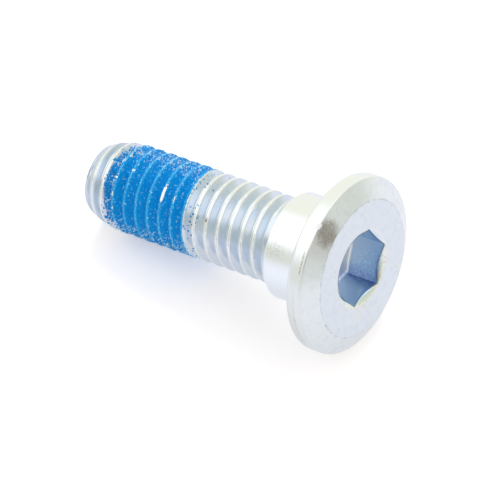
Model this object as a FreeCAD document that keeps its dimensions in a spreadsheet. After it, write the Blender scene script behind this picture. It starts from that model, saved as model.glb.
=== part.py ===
import FreeCAD, Part
import os

import Sketcher

# Flanged socket-head bolt with a locating collar, an M8 thread and a dried patch of thread-lock.
# It stands on the flat of its head: the origin is the middle of that flat, and the shank runs up along +Z.
# The hexagon of the socket has two of its corners on the X axis. Sizes are in millimetres.

os.makedirs("parts", exist_ok=True)
doc = FreeCAD.newDocument("bolt")

SIZES = [
    ("head_diameter", 15.9, "widest part of the head, at the rim"),
    ("head_height", 2.45, "flat of the head to the seat under it"),
    ("face_diameter", 12.3, "flat of the head"),
    ("bevel_height", 0.96, "height of the sloping ring around the flat"),
    ("back_round", 0.45, "rounding between rim and seat, made as two small slopes"),
    ("collar_diameter", 9.6, "plain collar that centres the bolt"),
    ("collar_length", 4.5, "seat to where the collar starts to taper"),
    ("collar_taper_height", 0.62, "taper at the collar's end"),
    ("collar_end_diameter", 8.6, "end face of the collar, where the thread starts"),
    ("shank_length", 25, "seat to the tip"),
    ("crest_diameter", 7.87, "over the crests of the thread"),
    ("pitch", 1.25, "rise of one turn of the thread"),
    ("thread_depth", 0.85, "crest to the bottom of the V, in place of the rounded root"),
    ("crest_width", 0.26, "flat left on a crest, which leaves flanks at 60 degrees to each other"),
    ("cut_past_crest", 0.06, "how far the groove's section reaches past the crests"),
    ("groove_start", 7.94, "height of the first groove, on the +X side"),
    ("groove_turns", 17, "turns of the groove, the last one past the tip"),
    ("taper_height", 2.4, "stretch at the tip where the crests shrink"),
    ("point_height", 0.8, "steeper cone at the very tip"),
    ("point_diameter", 7, "where the two cones meet"),
    ("tip_diameter", 6.2, "flat end of the tip"),
    ("across_flats", 6.05, "hexagon socket"),
    ("socket_depth", 3.4, "flat of the head to the floor of the socket"),
    ("mouth_diameter", 7.91, "where the rounded mouth of the socket meets the flat"),
    ("mouth_round", 1.3, "radius of that rounding, made as two slopes"),
    ("bare_turns", 7, "turns from the first groove to the start of the coat"),
    ("coat_turns", 7, "turns of the groove that the coat fills"),
    ("coat_depth", 0.38, "thickness of the dried coat over the bottom of the groove"),
    ("coat_gap", 0.02, "between the coat and the flanks, so that the two never overlap"),
]
sheet = doc.addObject("Spreadsheet::Sheet", "Sizes")
for row, (alias, value, meaning) in enumerate(SIZES, start=1):
    sheet.set(f"A{row}", str(value))
    sheet.setAlias(f"A{row}", alias)
    sheet.set(f"B{row}", meaning)
doc.recompute()

HEAD_RADIUS = "Sizes.head_diameter / 2"
FACE_RADIUS = "Sizes.face_diameter / 2"
COLLAR_RADIUS = "Sizes.collar_diameter / 2"
CREST_RADIUS = "Sizes.crest_diameter / 2"
ROOT_RADIUS = "Sizes.crest_diameter / 2 - Sizes.thread_depth"
COLLAR_TOP = "Sizes.head_height + Sizes.collar_length"
NECK = f"{COLLAR_TOP} + Sizes.collar_taper_height"
TIP = "Sizes.head_height + Sizes.shank_length"
SIDE_RADIUS = "Sizes.across_flats / 2"
MOUTH_RADIUS = "Sizes.mouth_diameter / 2"
# slope of the rounded mouth where it reaches the middle of a side of the hexagon
MOUTH_TURN = f"asin(({MOUTH_RADIUS} - {SIDE_RADIUS}) / Sizes.mouth_round)"
# share of a quarter round's radius that its middle lies in from the corner
QUARTER_MIDDLE = "(1 - sqrt(0.5))"
# run of a flank along the shank for each millimetre of depth
FLANK_SLOPE = "((Sizes.pitch - Sizes.crest_width) / 2 / Sizes.thread_depth)"

# places that a sketch's constraints point at
START = 1
END = 2
MIDDLE = 3
ACROSS_AXIS = -1
UP_AXIS = -2


def value_of(formula):
    """A formula's value in millimetres, with the sizes in the sheet."""
    return float(sheet.evalExpression(formula))


def new_sketch(body, name, role):
    """An empty sketch on one of the body's own origin planes."""
    plane = next(f for f in body.Origin.OriginFeatures if f.Role == role)
    sketch = body.newObject("Sketcher::SketchObject", name)
    sketch.AttachmentSupport = [(plane, "")]
    sketch.MapMode = "FlatFace"
    return sketch


def join_lines(sketch, spots):
    """Closed loop of straight lines through the spots, each line's end fixed to the next one's start."""
    for start, end in zip(spots, spots[1:] + spots[:1]):
        sketch.addGeometry(Part.LineSegment(start, end))
    for line in range(len(spots)):
        following = (line + 1) % len(spots)
        sketch.addConstraint(Sketcher.Constraint("Coincident", line, END, following, START))


def draw_outline(sketch, corners):
    """Closed outline of straight lines. Each corner is two formulas, and "0" puts it on that axis."""
    join_lines(sketch, [FreeCAD.Vector(value_of(x), value_of(y), 0) for x, y in corners])
    for line, (x, y) in enumerate(corners):
        for formula, kind, axis in ((x, "DistanceX", UP_AXIS), (y, "DistanceY", ACROSS_AXIS)):
            if formula == "0":
                sketch.addConstraint(Sketcher.Constraint("PointOnObject", line, START, axis))
                continue
            size = Sketcher.Constraint(kind, ACROSS_AXIS, START, line, START, value_of(formula))
            index = sketch.addConstraint(size)
            sketch.setExpression(f"Constraints[{index}]", formula)


def draw_hexagon(sketch, corner_radius):
    """Regular hexagon around the sketch's origin, with a corner on its horizontal axis."""
    radius = value_of(corner_radius)
    turn = FreeCAD.Rotation(FreeCAD.Vector(0, 0, 1), 60)
    spots = [FreeCAD.Vector(radius, 0, 0)]
    for _ in range(5):
        spots.append(turn.multVec(spots[-1]))
    join_lines(sketch, spots)
    circle = Part.Circle(FreeCAD.Vector(0, 0, 0), FreeCAD.Vector(0, 0, 1), radius)
    guide = sketch.addGeometry(circle, True)
    sketch.addConstraint(Sketcher.Constraint("Coincident", guide, MIDDLE, ACROSS_AXIS, START))
    for line in range(6):
        sketch.addConstraint(Sketcher.Constraint("PointOnObject", line, START, guide))
    for line in range(1, 6):
        sketch.addConstraint(Sketcher.Constraint("Equal", 0, line))
    sketch.addConstraint(Sketcher.Constraint("PointOnObject", 0, START, ACROSS_AXIS))
    index = sketch.addConstraint(Sketcher.Constraint("Radius", guide, radius))
    sketch.setExpression(f"Constraints[{index}]", corner_radius)


def turn_profile(body, kind, name, sketch):
    """Turns a profile once round the Z axis, as an added or a cut solid."""
    feature = body.newObject(kind, name)
    feature.Profile = sketch
    feature.ReferenceAxis = (sketch, ["V_Axis"])
    feature.Angle = 360
    doc.recompute()
    return feature


def groove_section(height, bottom, top):
    """Corners of a V with the thread's own flanks, on the +X side, pointed at the bottom radius."""
    reach = f"{FLANK_SLOPE} * ({top} - ({bottom}))"
    return [
        (bottom, height),
        (top, f"{height} - {reach}"),
        (top, f"{height} + {reach}"),
    ]


def wind(body, kind, name, sketch, turns):
    """Carries a section up a right-handed helix around the Z axis."""
    helix = body.newObject(kind, name)
    helix.Profile = sketch
    helix.ReferenceAxis = (sketch, ["V_Axis"])
    helix.Mode = "pitch-turns-angle"
    helix.setExpression("Pitch", "Sizes.pitch")
    helix.setExpression("Turns", turns)
    helix.LeftHanded = False
    doc.recompute()
    return helix


# Forged and rolled steel bolt, one piece: head, collar and shank are turned from one outline.
bolt = doc.addObject("PartDesign::Body", "Bolt")
bolt.Label = "bolt"
outline = new_sketch(bolt, "Outline", "XZ_Plane")
draw_outline(
    outline,
    [
        ("0", "0"),
        (FACE_RADIUS, "0"),
        (HEAD_RADIUS, "Sizes.bevel_height"),
        (HEAD_RADIUS, "Sizes.head_height - Sizes.back_round"),
        (
            f"{HEAD_RADIUS} - Sizes.back_round * {QUARTER_MIDDLE}",
            f"Sizes.head_height - Sizes.back_round * {QUARTER_MIDDLE}",
        ),
        (f"{HEAD_RADIUS} - Sizes.back_round", "Sizes.head_height"),
        (COLLAR_RADIUS, "Sizes.head_height"),
        (COLLAR_RADIUS, COLLAR_TOP),
        ("Sizes.collar_end_diameter / 2", NECK),
        (CREST_RADIUS, NECK),
        (CREST_RADIUS, f"{TIP} - Sizes.taper_height"),
        ("Sizes.point_diameter / 2", f"{TIP} - Sizes.point_height"),
        ("Sizes.tip_diameter / 2", TIP),
        ("0", TIP),
    ],
)
blank = turn_profile(bolt, "PartDesign::Revolution", "Blank", outline)

# The socket: a hexagon pressed into the flat, then its mouth, rounded by the punch all the way round.
hexagon = new_sketch(bolt, "Hexagon", "XY_Plane")
draw_hexagon(hexagon, "Sizes.across_flats / sqrt(3)")
socket = bolt.newObject("PartDesign::Pocket", "Socket")
socket.Profile = hexagon
socket.Reversed = True
socket.setExpression("Length", "Sizes.socket_depth")
doc.recompute()

mouth_section = new_sketch(bolt, "MouthSection", "XZ_Plane")
draw_outline(
    mouth_section,
    [
        ("0", "0"),
        (MOUTH_RADIUS, "0"),
        (
            f"{MOUTH_RADIUS} - Sizes.mouth_round * sin({MOUTH_TURN} / 2)",
            f"Sizes.mouth_round * (1 - cos({MOUTH_TURN} / 2))",
        ),
        (SIDE_RADIUS, f"Sizes.mouth_round * (1 - cos({MOUTH_TURN}))"),
        ("0", f"Sizes.mouth_round * (1 - cos({MOUTH_TURN}))"),
    ],
)
mouth = turn_profile(bolt, "PartDesign::Groove", "Mouth", mouth_section)

# The thread: its groove's section is carried up a helix, from the end of the collar to past the tip.
section = new_sketch(bolt, "GrooveSection", "XZ_Plane")
groove_top = f"({CREST_RADIUS} + Sizes.cut_past_crest)"
draw_outline(section, groove_section("Sizes.groove_start", ROOT_RADIUS, groove_top))
thread = wind(bolt, "PartDesign::SubtractiveHelix", "Thread", section, "Sizes.groove_turns")
bolt.Tip = thread

# Dried thread-lock: a ribbon that lies in seven turns of the groove, a little short of the tip.
coat = doc.addObject("PartDesign::Body", "Coat")
coat.Label = "thread_lock_coat"
ribbon_section = new_sketch(coat, "RibbonSection", "XZ_Plane")
draw_outline(
    ribbon_section,
    groove_section(
        "Sizes.groove_start + Sizes.bare_turns * Sizes.pitch",
        f"{ROOT_RADIUS} + Sizes.coat_gap / {FLANK_SLOPE}",
        f"({ROOT_RADIUS} + Sizes.coat_depth)",
    ),
)
ribbon = wind(coat, "PartDesign::AdditiveHelix", "Ribbon", ribbon_section, "Sizes.coat_turns")
coat.Tip = ribbon
doc.recompute()

# Every cut has to take material away, in the order of the steps.
for before, after in ((blank, socket), (socket, mouth), (mouth, thread)):
    if after.Shape.Volume >= before.Shape.Volume:
        raise ValueError(f"{after.Label} takes nothing away")

for item in doc.Objects:
    if "Invalid" in item.State or "Error" in item.State:
        raise ValueError(f"{item.Label} is {item.State}")

for body in (bolt, coat):
    shape = body.Shape
    if shape.isNull() or not shape.isValid():
        raise ValueError(f"{body.Label} is not a valid shape")
    volume = round(shape.Volume, 2)
    print(body.Label, len(shape.Solids), "solid", volume, "mm3", len(shape.Faces), "faces")
    shape.exportStep(f"parts/{body.Label}.step")
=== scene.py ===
import math

import bmesh
import bpy
import numpy as np
from mathutils import Matrix, Vector


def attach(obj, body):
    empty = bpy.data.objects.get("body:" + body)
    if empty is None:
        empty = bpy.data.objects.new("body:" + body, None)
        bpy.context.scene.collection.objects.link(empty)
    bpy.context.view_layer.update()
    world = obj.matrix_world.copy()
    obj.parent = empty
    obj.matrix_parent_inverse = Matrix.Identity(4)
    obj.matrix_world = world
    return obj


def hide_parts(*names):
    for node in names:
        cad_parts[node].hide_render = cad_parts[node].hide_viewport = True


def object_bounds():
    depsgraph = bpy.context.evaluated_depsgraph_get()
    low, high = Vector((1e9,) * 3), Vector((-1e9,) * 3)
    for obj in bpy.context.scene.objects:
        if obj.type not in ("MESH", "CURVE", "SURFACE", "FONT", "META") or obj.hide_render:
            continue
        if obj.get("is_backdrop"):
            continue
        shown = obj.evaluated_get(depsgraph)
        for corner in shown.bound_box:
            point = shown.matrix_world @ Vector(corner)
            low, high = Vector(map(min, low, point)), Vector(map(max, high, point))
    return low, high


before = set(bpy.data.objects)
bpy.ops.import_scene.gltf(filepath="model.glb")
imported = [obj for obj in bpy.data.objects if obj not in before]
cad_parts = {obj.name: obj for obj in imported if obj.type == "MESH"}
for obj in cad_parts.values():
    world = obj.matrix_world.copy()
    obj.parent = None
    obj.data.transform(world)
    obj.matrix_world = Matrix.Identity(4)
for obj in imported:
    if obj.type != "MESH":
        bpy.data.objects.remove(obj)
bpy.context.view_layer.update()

# Flanged socket bolt: zinc-plated steel with a collar under its head and dried blue thread-lock on its thread.
# It stands on the flat of its head, with the shank up along +Z. Lengths are in millimetres up to the mesh.

# Steel bolt. It is one piece: cold-headed, with a hexagon punched into its flat, turned at the collar, and
# with a rolled M8 thread. It is then zinc plated and passivated to a pale blue.
COLUMNS = 180
PITCH = 1.25
FIRST_CREST = 8.563
NECK = 7.57
TIP = 27.45

turn = np.linspace(0, 2 * math.pi, COLUMNS + 1)


def smoothstep(value, low, high):
    """3 t^2 - 2 t^3, where t is how far value has come from low to high, held between 0 and 1."""
    t = np.clip((value - low) / (high - low), 0, 1)
    return t * t * (3 - 2 * t)


def soft_above(value, bottom, blend):
    """The larger of value and bottom, with a parabola over the stretch where they are within blend."""
    gap = value - bottom
    near = np.abs(gap) < blend
    return bottom + np.where(near, (gap + blend) ** 2 / (4 * blend), np.maximum(gap, 0))


def soft_below(value, top, blend):
    """The smaller of value and top, blended as soft_above is."""
    return -soft_above(-value, -top, blend)


def around(radius, height):
    """Points at radius from the axis and at height, for each row and each column of turn."""
    radius, height = np.broadcast_arrays(radius, height)
    return np.stack([radius * np.cos(turn), radius * np.sin(turn), height], axis=-1)


def at(radius, height):
    """A profile corner, as a radius and a height for every column."""
    ones = np.ones_like(turn)
    return np.stack([radius * ones, height * ones], axis=-1)


def rounded_path(corners, rounds, steps):
    """Profile rows through the corners, each inner one turned by a curve of its own radius.

    A curve leaves its first leg at the distance radius * tan(half the turn) from the corner, and its
    points are the quadratic curve between the two tangent points that the corner pulls.
    """
    rows = [corners[0]]
    for before, corner, after, size in zip(corners, corners[1:], corners[2:], rounds):
        legs = [side - corner for side in (before, after)]
        units = [leg / np.linalg.norm(leg, axis=-1, keepdims=True) for leg in legs]
        cosine = np.clip((units[0] * units[1]).sum(-1, keepdims=True), -1, 1)
        reach = size * np.sqrt((1 + cosine) / (1 - cosine))
        ends = [corner + unit * reach for unit in units]
        for t in np.linspace(0, 1, steps):
            rows.append(ends[0] * (1 - t) ** 2 + corner * 2 * t * (1 - t) + ends[1] * t**2)
    rows.append(corners[-1])
    return np.stack(rows)


def divide(rows, longest):
    """Adds rows between neighbours, so that no step of the profile is longer than that."""
    parts = [rows[:1]]
    for start, end in zip(rows, rows[1:]):
        count = max(1, math.ceil(np.linalg.norm(end - start, axis=-1).max() / longest))
        share = np.arange(1, count + 1)[:, None, None] / count
        parts.append(start + (end - start) * share)
    return np.concatenate(parts)


MERGED_WITHIN = 2e-7
SHARP_FROM = math.radians(32)


def make_mesh(name, grids):
    """One closed mesh of several grids of points in millimetres, with shared rows and seams merged.

    A grid's rows run along the profile and its columns around the axis. Each face joins four
    neighbours, in the order that makes it face away from the axis where the rows climb.
    """
    points = []
    faces = []
    count = 0
    for grid in grids:
        rows, columns = grid.shape[:2]
        index = np.arange(rows * columns).reshape(rows, columns) + count
        corners = (index[:-1, :-1], index[:-1, 1:], index[1:, 1:], index[1:, :-1])
        faces.append(np.stack(corners, axis=-1).reshape(-1, 4))
        points.append(grid.reshape(-1, 3))
        count += rows * columns
    mesh = bpy.data.meshes.new(name)
    mesh.from_pydata(np.concatenate(points) / 1000, [], np.concatenate(faces))
    shape = bmesh.new()
    shape.from_mesh(mesh)
    bmesh.ops.remove_doubles(shape, verts=shape.verts, dist=MERGED_WITHIN)
    shape.to_mesh(mesh)
    shape.free()
    mesh.shade_smooth()
    mesh.set_sharp_from_angle(angle=SHARP_FROM)
    piece = bpy.data.objects.new(name, mesh)
    bpy.context.scene.collection.objects.link(piece)
    return piece


# The socket: a flat floor, six walls, and a mouth that a rounded punch has turned in all round. The hexagon's
# radius in each direction is its half width over the cosine of the angle to the middle of the nearest side.
HALF_FLATS = 3.025
SOCKET_DEPTH = 3.4
FLOOR_ROUND = 0.16
MOUTH_RADIUS = 3.955
MOUTH_ROUND = 1.3
MOUTH_ROWS = 14
LIP_WIDTH = 0.012
LIP_DROP = 0.02
WALL_STOP = 0.06
hexagon = HALF_FLATS / np.cos(np.mod(turn, math.pi / 3) - math.pi / 6)


def mouth_height(radius):
    """Depth of the rounded mouth at a radius: a circle of MOUTH_ROUND that leaves the flat at MOUTH_RADIUS."""
    return MOUTH_ROUND - np.sqrt(MOUTH_ROUND**2 - (MOUTH_RADIUS - radius) ** 2)


walls = rounded_path(
    [at(0, SOCKET_DEPTH), at(hexagon, SOCKET_DEPTH), at(hexagon, mouth_height(hexagon) + WALL_STOP)],
    [FLOOR_ROUND],
    steps=6,
)
lip_radius = hexagon + LIP_WIDTH
lip = at(lip_radius, mouth_height(lip_radius) + LIP_DROP)[None]
mouth_radius = hexagon + (MOUTH_RADIUS - hexagon) * np.linspace(0, 1, MOUTH_ROWS)[:, None]
mouth = np.stack([mouth_radius, mouth_height(mouth_radius)], axis=-1)
socket = np.concatenate([divide(walls, longest=0.3), lip, mouth[1:]])

# The outside of the head and the collar, as radius, height and rounding of each corner.
FLAT_RADIUS = 6.15
RIM_RADIUS = 7.944
HEAD_HEIGHT = 2.45
COLLAR_RADIUS = 4.8
CREST_RADIUS = 3.92
HEAD = [
    (MOUTH_RADIUS, 0, 0),
    (FLAT_RADIUS, 0, 0.09),
    (RIM_RADIUS, 0.96, 0.2),
    (RIM_RADIUS, HEAD_HEIGHT, 0.45),
    (COLLAR_RADIUS, HEAD_HEIGHT, 0.3),
    (COLLAR_RADIUS, 6.95, 0.25),
    (4.3, NECK, 0.12),
    (CREST_RADIUS, NECK, 0),
]
head_corners = [at(radius, height) for radius, height, _ in HEAD]
head_rows = rounded_path(head_corners, [size for _, _, size in HEAD[1:-1]], steps=7)
head = divide(head_rows, longest=0.25)

# The thread, and the two cones that it runs out on: a short steep one at the tip, and a long one below it.
THREAD_DEPTH = 0.72
CREST_HALF = 0.13
CREST_ROUND = 0.05
ROOT_ROUND = 0.25
SEAM_DEPTH = 0.05
SEAM_HALF = 0.05
FLANK_STEEPNESS = math.sqrt(3)
TIP_RADIUS = 3.1
CONE_RADIUS = 3.5
CONE_LENGTH = 0.8
TAPER_LENGTH = 1.6
RUN_IN = (NECK - 0.2, NECK + 0.45)
END_ROWS = 8


def thread_envelope(height):
    """Largest radius at a height: the crests, then two cones at the tip, with soft meetings."""
    taper = CONE_RADIUS + (TIP - CONE_LENGTH - height) * (CREST_RADIUS - CONE_RADIUS) / TAPER_LENGTH
    cone = TIP_RADIUS + (TIP - height) * (CONE_RADIUS - TIP_RADIUS) / CONE_LENGTH
    return soft_below(soft_below(taper, CREST_RADIUS, 0.05), cone, 0.05)


def climbed(height, azimuth):
    """How many pitches a point is above the first crest, which climbs one pitch a turn."""
    return (height - FIRST_CREST) / PITCH - azimuth / (2 * math.pi)


def thread_radius(height, azimuth):
    """The thread's surface: the crest radius less a depth that grows with the distance from the crest.

    The depth rises along a flank at 60 degrees to the other flank, from the crest's narrow flat to the
    groove's bottom, with both corners softened, and fades at the collar. A fine seam runs along the crest.
    """
    crests = climbed(height, azimuth)
    away = np.abs(crests - np.round(crests)) * PITCH
    depth = soft_above((away - CREST_HALF) * FLANK_STEEPNESS, 0, CREST_ROUND)
    depth = soft_below(depth, THREAD_DEPTH, ROOT_ROUND)
    depth = depth * smoothstep(height, *RUN_IN)
    depth = depth + SEAM_DEPTH * np.exp(-((away / SEAM_HALF) ** 2))
    return soft_below(CREST_RADIUS - depth, thread_envelope(height), 0.04)


first_turn = math.floor((NECK - FIRST_CREST) / PITCH) - 1
last_turn = math.ceil((TIP - FIRST_CREST) / PITCH) + 1


def wound_rows(phases):
    """Heights, where a turn starts, of the rows that run along the thread at these parts of a pitch."""
    return (np.arange(first_turn, last_turn)[:, None] + phases).ravel() * PITCH + FIRST_CREST


def wound_heights(rows, low, high):
    """Heights of those rows in every column: a row climbs one pitch a turn, and stays between low and high."""
    return np.clip(rows[:, None] + PITCH * turn / (2 * math.pi), low, high)


# Half a pitch of rows, which lie close together on the crest and its seam and wide apart in the groove.
HALF_PITCH = np.array([0.02, 0.04, 0.06, 0.085, 0.11, 0.145, 0.24, 0.33, 0.39, 0.445])
whole_pitch = np.concatenate([[-0.5], -HALF_PITCH[::-1], [0], HALF_PITCH])
height = wound_heights(wound_rows(whole_pitch), NECK, TIP)
thread = around(thread_radius(height, turn), height)
# The head's last ring is the thread's first, and the flat of the tip starts from its last.
head[-1, :, 0] = thread_radius(np.full_like(turn, NECK), turn)
end_radius = thread_radius(np.full_like(turn, TIP), turn)
end = around(end_radius * np.linspace(1, 0, END_ROWS)[:, None], TIP)

bolt_grids = [around(socket[..., 0], socket[..., 1]), around(head[..., 0], head[..., 1]), thread, end]
bolt = make_mesh("steel_bolt", bolt_grids)
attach(bolt, "root")
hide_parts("bolt")


class Wire:
    """A socket of a material's node. Arithmetic on wires adds Math nodes, and node() adds any other node."""

    def __init__(self, tree, socket=None):
        self.tree = tree
        self.socket = socket

    def node(self, kind, settings, links, output=0):
        """Adds a node, sets its settings first, then gives its sockets their values or wires."""
        node = self.tree.nodes.new("ShaderNode" + kind)
        for name, value in settings.items():
            setattr(node, name, value)
        for name, value in links.items():
            if isinstance(value, Wire):
                self.tree.links.new(value.socket, node.inputs[name])
            else:
                node.inputs[name].default_value = value
        return Wire(self.tree, node.outputs[output] if node.outputs else None)

    def feed(self, shader, name):
        """Leads this to a socket of a shader."""
        self.tree.links.new(self.socket, shader.inputs[name])

    def math(self, operation, *values):
        return self.node("Math", {"operation": operation}, dict(enumerate(values)))

    def __add__(self, other):
        return self.math("ADD", self, other)

    __radd__ = __add__

    def __sub__(self, other):
        return self.math("SUBTRACT", self, other)

    def __rsub__(self, other):
        return self.math("SUBTRACT", other, self)

    def __mul__(self, other):
        return self.math("MULTIPLY", self, other)

    __rmul__ = __mul__

    def __truediv__(self, other):
        return self.math("DIVIDE", self, other)

    def __pow__(self, other):
        return self.math("POWER", self, other)

    def step(self, low, high):
        """Smooth step from 0 at low to 1 at high. A low above high turns it round."""
        span = {"Value": self, "From Min": low, "From Max": high}
        return self.node("MapRange", {"interpolation_type": "SMOOTHSTEP"}, span)

    def away_from(self, value):
        """How far this is from a value, either way."""
        gap = self - value
        return gap.math("ABSOLUTE", gap)

    def color(self, shade):
        """A plain red, green and blue, for other colours to be laid over."""
        plain = self.node("RGB", {}, {})
        plain.socket.default_value = (*shade, 1)
        return plain

    def layers(self, covers):
        """This colour with others laid over it in turn, each a shade or a wire and how much of it shows.

        A Mix node's sockets have the same names for each kind of value, so they go by number.
        """
        color = self
        for shade, amount in covers:
            top = shade if isinstance(shade, Wire) else (*shade, 1)
            settings = {"data_type": "RGBA", "clamp_factor": True}
            color = self.node("Mix", settings, {0: amount, 6: color, 7: top}, 2)
        return color

    def scaled(self, factors):
        """These points with each coordinate times its factor."""
        return self.node("VectorMath", {"operation": "MULTIPLY"}, {0: self, 1: factors})

    def noise(self, scale, detail, roughness=0.5, stretch=(1, 1, 1)):
        """Noise from 0 to 1 at these points, with its size set by scale per millimetre."""
        links = {"Vector": self.scaled(stretch), "Scale": scale, "Detail": detail, "Roughness": roughness}
        return self.node("TexNoise", {}, links)

    def distance(self, point):
        """How far these points are from one point."""
        return self.node("VectorMath", {"operation": "DISTANCE"}, {0: self, 1: point}, "Value")

    def coordinates(self):
        """The x, y and z of these points."""
        return [self.node("SeparateXYZ", {}, {0: self}, axis) for axis in "XYZ"]


def new_material(name):
    """A new material, its shader, and its points in millimetres."""
    material = bpy.data.materials.new(name)
    material.use_nodes = True
    base = Wire(material.node_tree)
    place = base.node("TexCoord", {}, {}, "Object")
    points = base.node("VectorMath", {"operation": "SCALE"}, {0: place, "Scale": 1000.0})
    return material, material.node_tree.nodes["Principled BSDF"], points


def off_crest(height, azimuth):
    """How many pitches a point of the surface is from the nearest crest."""
    crests = climbed(height, azimuth)
    return crests.away_from(crests.math("ROUND", crests))


zinc, shader, points = new_material("zinc_plate")
x, y, z = points.coordinates()
radius = (x * x + y * y) ** 0.5
turning = y.math("ARCTAN2", y, x)


def towards(x, y, side):
    """Cosine of the angle around the axis between a point and a side of the bolt, given as its x and y."""
    return (x * side[0] + y * side[1]) / (x * x + y * y) ** 0.5


PAINTED_LIGHT_SIDE = (1, 0)
MOUTH_REFLECTION_SIDE = (0.77, -0.64)
SHADED_EDGE_SIDE = (-0.55, -0.835)

# Each mask is 1 on its own part of the surface. Its steps are millimetres from the axis or along it.
on_flat = radius.step(FLAT_RADIUS + 0.10, FLAT_RADIUS - 0.03) * z.step(0.12, 0.02)
on_bevel = radius.step(FLAT_RADIUS - 0.05, FLAT_RADIUS + 0.10) * z.step(1.0, 0.9)
on_rim = radius.step(7.8, 7.9)
on_seat = radius.step(COLLAR_RADIUS + 0.1, COLLAR_RADIUS + 0.3) * z.step(HEAD_HEIGHT - 0.10, HEAD_HEIGHT - 0.02)
on_collar = z.step(HEAD_HEIGHT + 0.05, HEAD_HEIGHT + 0.45) * z.step(NECK + 0.03, NECK - 0.07)
on_thread = z.step(NECK - 0.07, NECK + 0.03)
on_end = z.step(TIP - 0.02, TIP - 0.005)
in_head = z.step(SOCKET_DEPTH + 0.3, SOCKET_DEPTH + 0.1)
in_socket = radius.step(3.75, 3.5) * z.step(0.05, 0.5) * in_head
on_floor = radius.step(3.6, 3.5) * z.step(3.20, 3.26) * in_head
# Painted highlight along the edge of the socket's floor.
floor_edge_highlight = on_floor * z.step(SOCKET_DEPTH - 0.002, SOCKET_DEPTH - 0.008)
on_mouth = radius.step(MOUTH_RADIUS - 0.005, MOUTH_RADIUS - 0.105) * z.step(0.01, 0.10) * z.step(0.5, 0.4)
# Painted reflection: the mouth is cream only on one side.
on_mouth = on_mouth * towards(x, y, MOUTH_REFLECTION_SIDE).step(0.0, 0.4)
from_crest = off_crest(z, turning)
on_crest = from_crest.step(0.13, 0.05) * on_thread
on_seam = from_crest.step(0.04, 0.015) * on_thread

mottle = points.noise(1.6, 3.0)
cloud = points.noise(0.35, 2.0)
grain = points.noise(9.0, 3.0, 0.6)
speck = points.noise(5.0, 2.0, 0.6)
swirled = points.node("VectorRotate", {"rotation_type": "Z_AXIS"}, {"Vector": points, "Angle": 0.9})
scratches = swirled.noise(0.9, 3.0, 0.5, (0.25, 4.0, 1.0)).away_from(0.5).step(0.010, 0.002)

# The socket's walls are blue, partly the passivation's tint and partly painted shade of the recess. Painted shade
# makes them deeper blue down one corner, and light speckles lie in the middle of one side.
SHADED_CORNER = (HALF_FLATS / math.sqrt(3), -HALF_FLATS, 0)
SPECKLED_WALL = (0.4, -3.0, 1.6)
from_corner = points.scaled((1, 1, 0)).distance(SHADED_CORNER)
speckled = points.distance(SPECKLED_WALL).step(2.2, 0.3)
wall = points.color((0.48, 0.66, 0.87)).layers(
    [
        ((0.22, 0.31, 0.60), from_corner.step(1.5, 0.1) * 0.8),
        ((0.60, 0.86, 1.0), speck.step(0.50, 0.58) * speckled * 0.8),
    ]
)

# Painted shade: the hexagon's edge at the mouth is dark on one side. There a point is just further across than the
# walls.
side_angle = (turning + 2 * math.pi).math("MODULO", turning + 2 * math.pi, math.pi / 3) - math.pi / 6
across = radius * side_angle.math("COSINE", side_angle)
mouth_edge_shade = across.step(HALF_FLATS + 0.002, HALF_FLATS + 0.008) * across.step(HALF_FLATS + 0.075, HALF_FLATS + 0.02)
mouth_edge_shade = mouth_edge_shade * z.step(0.02, 0.05) * z.step(0.6, 0.5) * towards(x, y, SHADED_EDGE_SIDE).step(0.1, 0.5)

# Marks, each around one place on the surface. Most are marks of handling; the bevel's dark spot and a line at the
# tip's edge are painted reflections, and the nick is painted white as its glint.
DARK_REFLECTION_SPOT = (-3.75, 5.85, 0.5)
NICK_GLINT = (-4.40, 6.60, 0.98)
STIPPLE = (-0.5, 4.8, 6.1)
RUST = (-0.65, 3.88, 14.08)
BROWN_SPOT = (1.22, -2.92, 0.1)
# Painted reflection: a dark spot on the bevel.
bevel_dark_reflection = points.distance(DARK_REFLECTION_SPOT) + (mottle - 0.5) * 1.0 + (speck - 0.5) * 0.6
bevel_dark_reflection = bevel_dark_reflection.step(1.6, 0.5) * (0.55 + grain.step(0.3, 0.7) * 0.35) * on_bevel
# A nick on the rim's edge, painted white and not metallic as its glint.
nick_glint = (points.distance(NICK_GLINT) + (speck - 0.5) * 0.4).step(0.34, 0.22)
stipple = (points.distance(STIPPLE) + (mottle - 0.5) * 1.6).step(1.5, 0.3) * speck.step(0.42, 0.60)
rust = (points.distance(RUST) + (grain - 0.5) * 0.3).step(0.25, 0.12)
# A brown spot at the mouth.
brown_spot = (points.distance(BROWN_SPOT) + (grain - 0.5) * 0.6).step(0.5, 0.2)
rubbed = turning.away_from(1.72).step(0.16, 0.08) * speck.step(0.35, 0.50)
rubbed = rubbed * z.away_from(1.22).step(0.12, 0.05) * on_rim
# Painted reflection: a dark line along the tip's edge.
tip_dark_reflection = z.step(TIP - 0.25, TIP - 0.17) * z.step(TIP - 0.03, TIP - 0.07)
tip_dark_reflection = tip_dark_reflection * turning.away_from(1.85).step(0.20, 0.10) * speck.step(0.3, 0.5)
# Painted shade: the rim is darker on one side. The beige line there is a mark.
rim_painted_shade = on_rim * towards(x, y, PAINTED_LIGHT_SIDE).step(0.07, 0.54)
rim_line = rim_painted_shade * z.away_from(1.55).step(0.12, 0.04) * speck.step(0.35, 0.60)
flat_edge = radius.away_from(FLAT_RADIUS + 0.02).step(0.06, 0.02) * z.step(0.3, 0.2)
flat_edge = flat_edge * speck.step(0.42, 0.58) * mottle.step(0.35, 0.55)

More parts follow.
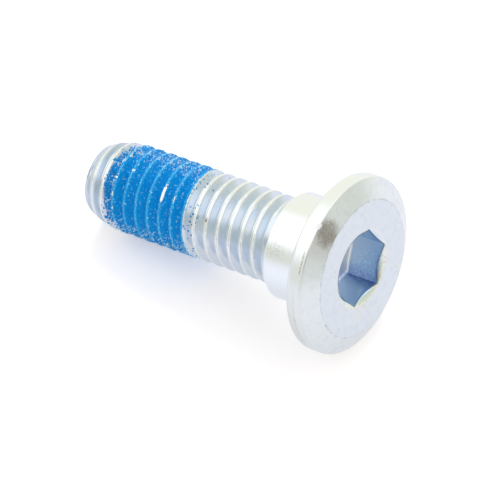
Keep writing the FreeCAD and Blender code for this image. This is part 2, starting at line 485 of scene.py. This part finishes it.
color = points.color((0.82, 0.85, 0.87)).layers(
    [
        # Shades by part, from the flat to the tip, with painted light among them.
        ((0.80, 0.84, 0.90), on_flat),
        ((0.68, 0.745, 0.835), on_thread * 0.9),
        ((0.50, 0.59, 0.72), z.step(25.4, 26.4) * 0.7),
        ((0.54, 0.61, 0.69), speck.step(0.42, 0.68) * on_thread * 0.25),
        # Painted highlight on the thread's crests, and painted shade in the seam along them.
        ((0.96, 0.97, 0.96), on_crest * (0.50 + cloud * 0.6)),
        ((0.50, 0.47, 0.43), on_seam * speck.step(0.30, 0.60) * 0.65),
        # Painted light: the collar is paler on one side.
        ((0.90, 0.94, 0.99), on_collar * towards(x, y, PAINTED_LIGHT_SIDE).step(0.02, 0.32)),
        ((0.72, 0.76, 0.81), on_seat),
        ((0.56, 0.59, 0.63), on_end),
        # Painted shade: the rim is darker on that side, more so above its middle.
        ((0.72, 0.74, 0.71), rim_painted_shade * (0.2 + z.step(1.40, 1.60) * 0.5)),
        ((0.60, 0.57, 0.50), rim_line * 0.6),
        # The socket: its mouth, cream on one side as a painted reflection, with brown scratches; its walls, partly
        # painted shade; and its floor, with a painted highlight along its edge.
        ((0.86, 0.87, 0.76), on_mouth),
        ((0.60, 0.55, 0.48), on_mouth * speck.step(0.48, 0.62) * mottle.step(0.4, 0.6) * 0.6),
        (wall, in_socket),
        ((1.0, 0.92, 0.90), on_floor),
        ((1.0, 1.0, 1.0), floor_edge_highlight),
        ((0.20, 0.19, 0.22), mouth_edge_shade * 0.65),
        # Clouds, mottling and scratches.
        ((0.88, 0.88, 0.82), cloud.step(0.5, 0.75) * 0.35 * (1 - in_socket)),
        ((0.68, 0.74, 0.78), (mottle.step(0.45, 0.75) * 0.4 + grain.step(0.5, 0.7) * 0.15) * (on_flat + on_bevel)),
        ((0.45, 0.48, 0.50), flat_edge * 0.9),
        ((0.55, 0.58, 0.62), scratches * cloud.step(0.45, 0.6) * on_flat * 0.5),
        # Marks of handling, with painted dark reflections on the bevel and at the tip's edge, and the nick painted
        # white as its glint.
        ((0.30, 0.27, 0.22), bevel_dark_reflection),
        ((1.0, 1.0, 0.97), nick_glint),
        ((0.44, 0.41, 0.36), rubbed * 0.8),
        ((0.50, 0.49, 0.45), stipple * (0.12 + grain * 0.3)),
        ((0.30, 0.28, 0.32), tip_dark_reflection * 0.8),
        ((0.20, 0.15, 0.10), rust * 0.9),
        ((0.50, 0.42, 0.32), brown_spot * 0.5),
    ]
)
rough = 0.22 + on_flat * 0.22 - on_collar * 0.04 - on_thread * 0.05 + on_seat * 0.18 + on_end * 0.3
rough = rough + on_floor * 0.3 - floor_edge_highlight * 0.35 + (mottle - 0.5) * 0.10 + (grain - 0.5) * 0.10
# The distance of a bump is in metres.
relief = {"Strength": 0.2, "Distance": 0.00003, "Height": grain * 0.4 + mottle * 0.6}
color.feed(shader, "Base Color")
(1 - nick_glint).feed(shader, "Metallic")
rough.feed(shader, "Roughness")
points.node("Bump", {}, relief).feed(shader, "Normal")
bolt.data.materials.append(zinc)

# Dried thread-lock. A band brushed on the rolled thread and dried: thick in the grooves and a thin film on the
# crests, with one crisp edge along a crest, the other edge ragged, and crests rubbed bare in places.
COAT_FIRST = 14.9
COAT_LAST = 25.9
START_CREST = 6
END_CREST = 13
FILM = 0.038
FILLING = 0.09
LUMPS = 0.012
SUNK = -0.04
INNER_DEPTH = 0.06
WORN = [(8, 1.78, 2.16, 0.11), (7, 1.86, 1.96, 0.07)]


def ripple(points, size, seed):
    """Smooth noise of about unit height: a sum of 48 sines along random directions, whose lengths are near size."""
    waves = 48
    draw = np.random.default_rng(seed)
    direction = draw.normal(size=(waves, 3))
    direction /= np.linalg.norm(direction, axis=1, keepdims=True)
    number = 2 * math.pi / (size * draw.uniform(0.7, 1.6, (waves, 1)))
    start = draw.uniform(0, 2 * math.pi, waves)
    total = np.zeros(points.shape[:-1])
    for step, offset in zip(direction * number, start):
        total += np.sin(points @ step + offset)
    return total * math.sqrt(2 / waves)


# The rows that reach the band. A row climbs one pitch, so those that start a pitch below it count too.
rows = wound_rows(np.linspace(-0.5, 0.5, 17)[:-1])
rows = rows[(rows > COAT_FIRST - PITCH - 0.1) & (rows < COAT_LAST + 0.1)]
height = wound_heights(rows, COAT_FIRST, COAT_LAST)
steel = thread_radius(height, turn)
spots = around(steel, height)
# The crisp edge follows a crest for most of a turn, and crosses to the next crest on the far side.
back_seam = math.radians(10)
swung = np.mod(turn + back_seam, 2 * math.pi) - back_seam
start = FIRST_CREST + PITCH * (START_CREST + swung / (2 * math.pi))
start = start - PITCH * smoothstep(swung, math.radians(205), math.radians(345))
grains = ripple(spots, 0.3, 6)
stray = smoothstep(height, start - 1.0, start - 0.2) * 0.45
inside = smoothstep(height - start + 0.03 * ripple(spots, 0.4, 7), -0.06, 0.06)
inside = np.maximum(inside, smoothstep(grains + stray, 1.9, 2.1))
# The ragged edge is scattered grains in the last turn before the end crest, and whole below it.
left = (start - height) / PITCH + END_CREST - START_CREST
ragged = 1.7 * left - 0.75 + 0.35 * ripple(spots, 1.1, 5) + 0.7 * ripple(spots, 0.26, 8)
inside = inside * smoothstep(ragged, -0.12, 0.12) * smoothstep(left, -0.02, 0.06)
# Worn places: which crest, from and to which azimuth, and how wide in pitches.
for crest, low, high, width in WORN:
    along = smoothstep(turn, low - 0.08, low + 0.08) * smoothstep(turn, high + 0.08, high - 0.08)
    aside = np.abs(climbed(height, turn) - crest) + 0.012 * grains
    bare = smoothstep(aside, width * along, width * along - 0.03) * (along > 0)
    inside = inside * (1 - bare)
thickness = FILM + FILLING * smoothstep((CREST_RADIUS - steel) / THREAD_DEPTH, 0.3, 1.0)
thickness += LUMPS * ripple(spots, 0.5, 3) + LUMPS * ripple(spots, 0.26, 4)
# Where there is no coat, its outer skin dips just under the steel.
outer = around(steel + SUNK + (thickness - SUNK) * inside, height)
inner = around(steel - INNER_DEPTH, height)
first_ring = np.stack([inner[0], outer[0]])
last_ring = np.stack([outer[-1], inner[-1]])
coat = make_mesh("thread_lock_band", [outer, inner[::-1], first_ring, last_ring])
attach(coat, "root")
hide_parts("thread_lock_coat")

blue, shader, points = new_material("dried_blue_thread_lock")
x, y, z = points.coordinates()
from_crest = off_crest(z, y.math("ARCTAN2", y, x))
# Droplets and dark flecks lie all over the coat. Painted glints add more of both, and whiten the droplets, where
# the coat turns away from one side.
GLINT_FAR_SIDE = (-0.178, 0.984)
far_side_facing = towards(x, y, GLINT_FAR_SIDE)
painted_glints = 0.12 + far_side_facing.step(0.88, 0.40) * (0.54 - far_side_facing.step(0.25, -0.4) * 0.4)
speck = points.noise(6.0, 3.0, 0.7)
blotch = points.noise(0.9, 2.0)
fine = points.noise(8.0, 3.0, 0.7)
flecks = points.noise(4.2, 2.0, 0.8, (1, 1, 1.2))
droplet = points.color((0.30, 0.76, 1.0)).layers([((0.80, 0.90, 0.90), painted_glints)])
on_crest = from_crest.step(0.11, 0.03) * blotch.step(0.2, 0.5) * (0.35 + speck.step(0.4, 0.6) * 0.65)
color = points.color((0.0, 0.33, 0.78)).layers(
    [
        ((0.0, 0.37, 0.82), blotch.step(0.45, 0.7) * 0.5),
        ((0.12, 0.58, 0.92), on_crest),
        ((0.0, 0.16, 0.40), (fine + painted_glints * 0.06).step(0.58, 0.66) * (0.3 + painted_glints * 0.6)),
        (droplet, (flecks + painted_glints * 0.13).step(0.63, 0.67) * (0.7 + painted_glints * 0.3)),
    ]
)
shader.inputs["Specular IOR Level"].default_value = 0.12
color.feed(shader, "Base Color")
(0.35 + (speck - 0.5) * 0.3).feed(shader, "Roughness")
relief = {"Strength": 0.8, "Distance": 0.00008, "Height": speck}
points.node("Bump", {}, relief).feed(shader, "Normal")
coat.data.materials.append(blue)

# Floors. The bolt stands on its head's flat on a pale floor. The photograph shows it lying on white paper
# instead, so a second sheet touches the head's rim and the thread's tip. Each shows only from its own side.
paper_normal = np.array([-0.8395, 0.5150, -0.1740])
paper_normal /= np.linalg.norm(paper_normal)
PAPER_HALF = 100
GROUND_HALF = 600
GROUND_DROP = 0.01
MIRRORED_SHARE = 0.6
LIFT = 0.35


def make_sheet(name, centre, normal, half):
    """A square around a point, as wide as twice half, whose front faces along the normal."""
    across = np.cross(normal, (0, 0, 1) if abs(normal[2]) < 0.9 else (1, 0, 0))
    across /= np.linalg.norm(across)
    along = np.cross(normal, across)
    corners = [centre + half * (a * across + b * along) for a, b in ((-1, -1), (1, -1), (1, 1), (-1, 1))]
    mesh = bpy.data.meshes.new(name)
    mesh.from_pydata(np.array(corners) / 1000, [], [(0, 1, 2, 3)])
    sheet = bpy.data.objects.new(name, mesh)
    bpy.context.scene.collection.objects.link(sheet)
    sheet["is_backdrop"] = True
    return sheet


def one_sided(name, shade):
    """White paper from its front and nothing from its back.

    Mirrors see it brighter than it is, as if more light fell on it, and the camera sees it lifted a little.
    """
    material = bpy.data.materials.new(name)
    material.use_nodes = True
    material.node_tree.nodes.clear()
    base = Wire(material.node_tree)
    from_back = base.node("NewGeometry", {}, {}, "Backfacing")
    camera_ray = base.node("LightPath", {}, {}, "Is Camera Ray")
    glossy_ray = base.node("LightPath", {}, {}, "Is Glossy Ray")
    paper = base.node("BsdfDiffuse", {}, {"Color": (*shade, 1)})
    lit = base.node("Emission", {}, {"Color": (0.95, 0.97, 1.0, 1), "Strength": 1.0})
    paper = base.node("MixShader", {}, {0: glossy_ray * MIRRORED_SHARE, 1: paper, 2: lit})
    lift = base.node("Emission", {}, {"Color": (1.0, 0.94, 0.84, 1), "Strength": camera_ray * LIFT})
    paper = base.node("AddShader", {}, {0: paper, 1: lift})
    clear = base.node("BsdfTransparent", {}, {})
    surface = base.node("MixShader", {}, {0: from_back, 1: paper, 2: clear})
    base.node("OutputMaterial", {}, {"Surface": surface})
    return material


outward = paper_normal * (1, 1, 0)
outward /= np.linalg.norm(outward)
rim_point = np.array([0, 0, 2.0]) - RIM_RADIUS * outward
paper = make_sheet("paper_under_bolt", rim_point, paper_normal, PAPER_HALF)
paper.data.materials.append(one_sided("white_paper", (0.95, 0.95, 0.97)))
ground = make_sheet("pale_floor", np.array([0, 0, -GROUND_DROP]), np.array([0, 0, 1.0]), GROUND_HALF)
ground.data.materials.append(one_sided("pale_ground", (0.95, 0.95, 0.96)))
ground.visible_diffuse = False
ground.visible_glossy = False
ground.visible_shadow = False
ground.visible_transmission = False

# Camera, surroundings and light. The camera has the photograph's angle, from below the head's flat and to its
# side, through a long lens. The picture's right and down and the way ahead are directions of the bolt's frame.
right = np.array([-0.16876433, -0.56734459, -0.80600169])
down = np.array([0.95006046, 0.12414134, -0.2863111])
ahead = np.array([0.26249518, -0.81406943, 0.51806103])
camera_place = np.array([-133.840, 420.625, -256.170]) / 1000
camera_data = bpy.data.cameras.new("camera")
camera_data.lens = 432
camera_data.sensor_width = 36
camera_data.clip_start = 0.01
camera_data.clip_end = 10
camera = bpy.data.objects.new("camera", camera_data)
camera_axes = np.stack([right, -down, -ahead, camera_place], axis=1)
camera.matrix_world = Matrix([*camera_axes.tolist(), (0, 0, 0, 1)])
bpy.context.scene.collection.objects.link(camera)
bpy.context.scene.camera = camera

# Only mirrored rays see these surroundings. The camera sees plain white, and all other light is even.
world = bpy.data.worlds.new("studio")
bpy.context.scene.world = world
world.use_nodes = True
world.node_tree.nodes.clear()
base = Wire(world.node_tree)
direction = base.node("TexCoord", {}, {}, "Generated")


def facing(aim):
    """Cosine of the angle between a direction of the surroundings and this one."""
    length = math.sqrt(sum(part * part for part in aim))
    unit = tuple(part / length for part in aim)
    return direction.node("VectorMath", {"operation": "DOT_PRODUCT"}, {0: direction, 1: unit}, "Value")


def cap(aim, outer, inner):
    """Smooth step from 0 at the angle outer from a direction to 1 at the angle inner, in degrees."""
    return facing(aim).step(math.cos(math.radians(outer)), math.cos(math.radians(inner)))


up = facing(tuple(paper_normal))
below_head = facing((0, 0, -1))
column = facing((-0.987, -0.134, -0.085)).away_from(0).step(0.26, 0.08)
column = column * facing((0, 1, 0)).step(0.05, 0.3) * below_head.step(0.45, 0.75)
sky = base.color((0.76, 0.79, 0.71)).layers(
    [
        # A paler side of the room.
        ((0.84, 0.85, 0.78), cap((0.0, 0.86, 0.51), 75, 30)),
        # The paper, below the horizon.
        ((0.88, 0.91, 0.90), up.step(0.08, -0.08)),
        # A wide soft light over the shank, one over the head, and a bright one that the collar mirrors.
        ((1.06, 1.06, 0.93), cap((-0.8, -0.35, 0.5), 80, 45)),
        ((1.5, 1.5, 1.47), up.step(0.6, 0.8) * below_head.step(0.2, 0.4)),
        ((1.35, 1.35, 1.35), cap((-0.53, 0.63, 0.52), 41, 13)),
        # A grey patch that the bevel mirrors, with a darker middle, and a dark column across it.
        ((0.79, 0.81, 0.76), cap((-0.05, -0.04, -1.0), 38, 20)),
        ((0.62, 0.61, 0.56), cap((-0.09, -0.08, -0.99), 12, 6)),
        ((0.40, 0.41, 0.50), column),
    ]
)
camera_ray = base.node("LightPath", {}, {}, "Is Camera Ray")
glossy_ray = base.node("LightPath", {}, {}, "Is Glossy Ray")
white = base.node("Background", {}, {"Color": (1, 1, 1, 1), "Strength": 1.0})
even = base.node("Background", {}, {"Color": (0.98, 0.965, 0.99, 1), "Strength": 0.82})
mirrored = base.node("Background", {}, {"Color": sky, "Strength": 1.0})
light = base.node("MixShader", {}, {0: glossy_ray, 1: even, 2: mirrored})
light = base.node("MixShader", {}, {0: camera_ray, 1: light, 2: white})
base.node("OutputWorld", {}, {"Surface": light})

# One soft lamp gives the bolt its shadow on the paper.
KEY_DISTANCE = 0.4
key_data = bpy.data.lights.new("key", "AREA")
key_data.energy = 0.66
key_data.size = 0.25
key = bpy.data.objects.new("key", key_data)
key_from = Vector(0.15 * right - 0.85 * down + 0.30 * ahead + 0.4 * paper_normal).normalized()
shank_middle = Vector((0, 0, 0.0137))
key_turn = key_from.to_track_quat("Z", "Y").to_matrix().to_4x4()
key.matrix_world = Matrix.Translation(shank_middle + key_from * KEY_DISTANCE) @ key_turn
key.visible_camera = False
key.visible_glossy = False
bpy.context.scene.collection.objects.link(key)

bpy.context.scene.view_settings.view_transform = "Standard"

low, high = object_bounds()
